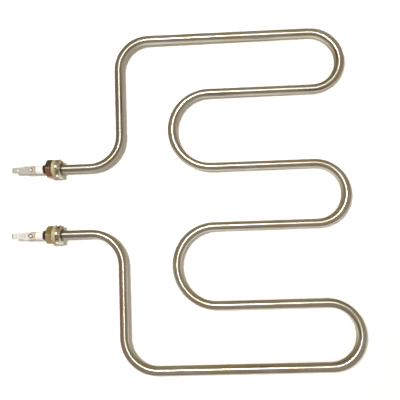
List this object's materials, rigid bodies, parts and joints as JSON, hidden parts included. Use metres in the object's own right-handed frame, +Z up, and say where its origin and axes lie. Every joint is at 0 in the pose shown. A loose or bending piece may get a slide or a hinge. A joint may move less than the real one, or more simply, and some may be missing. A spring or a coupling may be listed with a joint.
{
  "type": "tubular heating element",
  "caption": "Flat serpentine tubular heater: a sheathed tube bent into parallel runs, with a threaded fitting, ceramic bush and push-on blade at each end.",
  "frame": {"origin": "midway between the two threaded fittings, on the plane where their hex heads meet the sealing rings, at the height of the tube's axis", "axes": "+X runs from the fittings along the tubes to the far bends, -X out to the blades, +Y to the left terminal, +Z up, square to the plane of the bends"},
  "size_m": [0.3434, 0.3426, 0.0202],
  "materials": {
    "sheath_steel": "bright-annealed stainless tube, drawn, with a warm bronze heat tint",
    "magnesia": "compacted magnesium oxide powder, matt",
    "coil_wire": "nickel-chromium wire, dull oxide",
    "pin_steel": "nickel-plated steel, satin",
    "seal_silicone": "cured silicone seal, satin",
    "porcelain": "white steatite, fine matt",
    "blade_steel": "nickel-plated steel strip, satin",
    "fitting_steel": "turned stainless steel with a brown braze tint",
    "gasket_fibre": "compressed fibre sheet, matt khaki",
    "nut_zinc": "yellow-passivated zinc plate, bright iridescent"
  },
  "bodies": {
    "root": {"sheath": "sheath_steel", "magnesia_core": "magnesia", "heating_coil": "coil_wire", "terminal_pin_left": "pin_steel", "end_seal_left": "seal_silicone", "ceramic_bush_left": "porcelain", "blade_left": "blade_steel", "threaded_bush_left": "fitting_steel", "sealing_ring_left": "gasket_fibre", "lock_nut_left": "nut_zinc", "terminal_pin_right": "pin_steel", "end_seal_right": "seal_silicone", "ceramic_bush_right": "porcelain", "blade_right": "blade_steel", "threaded_bush_right": "fitting_steel", "sealing_ring_right": "gasket_fibre", "lock_nut_right": "nut_zinc"}
  },
  "joints": []
}
